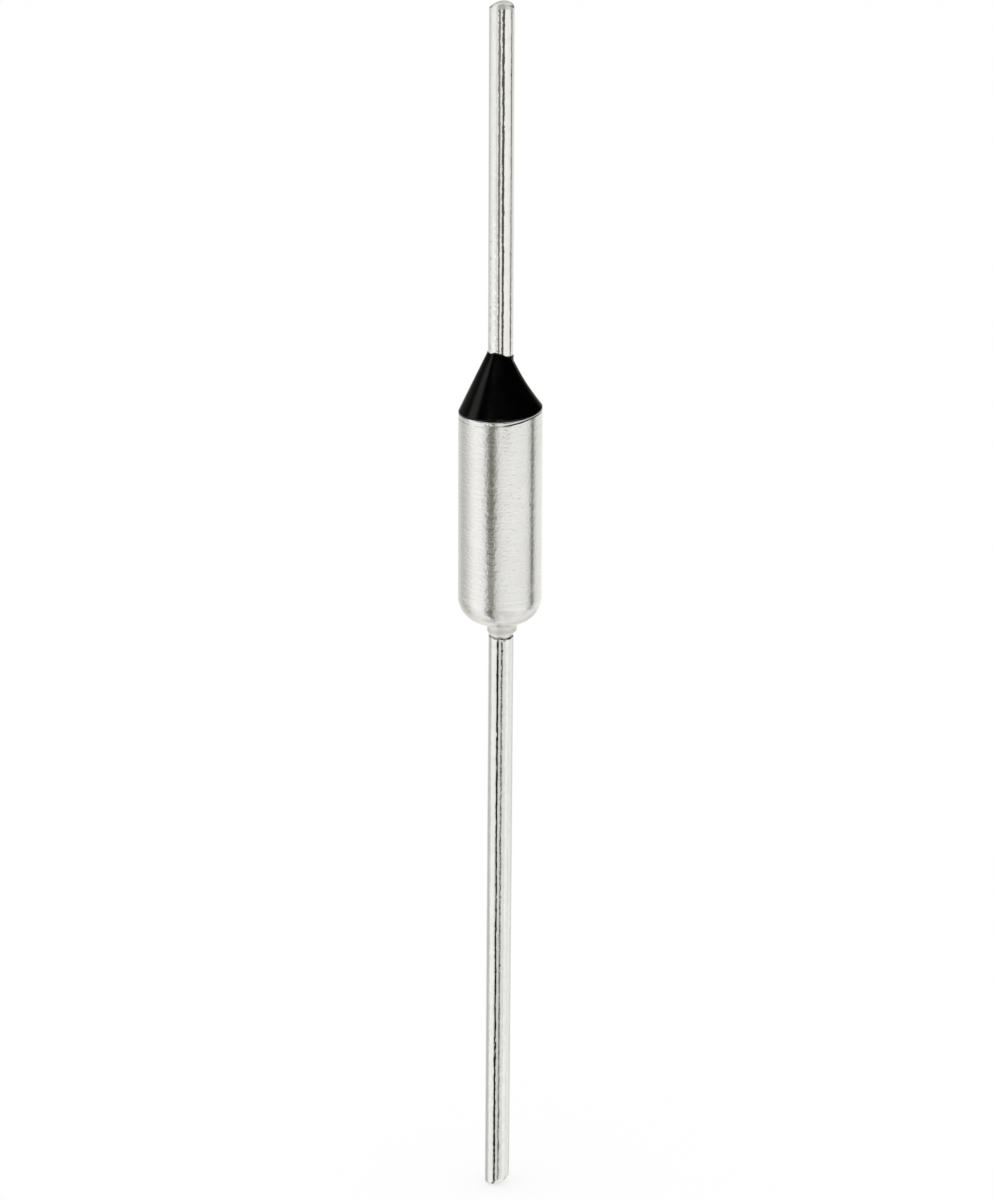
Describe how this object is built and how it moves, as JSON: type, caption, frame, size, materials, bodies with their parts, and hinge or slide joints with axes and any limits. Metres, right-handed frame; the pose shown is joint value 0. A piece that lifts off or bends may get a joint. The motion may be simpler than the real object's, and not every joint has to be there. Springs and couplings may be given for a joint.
{
  "type": "thermal fuse",
  "caption": "Axial pellet-type thermal fuse: bright drawn metal case with a round closed end and riveted lead, black resin cone at its mouth, and an insulated lead along the same axis.",
  "frame": {"origin": "middle of the case's length, on the axis", "axes": "+Z along the axis towards the isolated lead; X and Y are free, because the outside is a body of revolution"},
  "size_m": [0.004, 0.004, 0.0595],
  "materials": {
    "case": "satin nickel plate with fine marks round the case",
    "lead": "bright tinned copper wire with fine draw lines",
    "ceramic": "unglazed steatite",
    "resin": "glossy black potting resin",
    "pellet": "pressed organic pellet",
    "disc": "stamped brass",
    "spring": "drawn spring steel",
    "contact": "silver plated sheet"
  },
  "bodies": {
    "root": {"case": "case", "case_lead": "lead", "isolated_lead": "lead", "ceramic_bush": "ceramic", "epoxy_seal": "resin", "fusible_pellet": "pellet", "pellet_disc": "disc", "main_spring": "spring", "contact_disc": "disc", "star_contact": "contact", "trip_spring": "spring"}
  },
  "joints": []
}
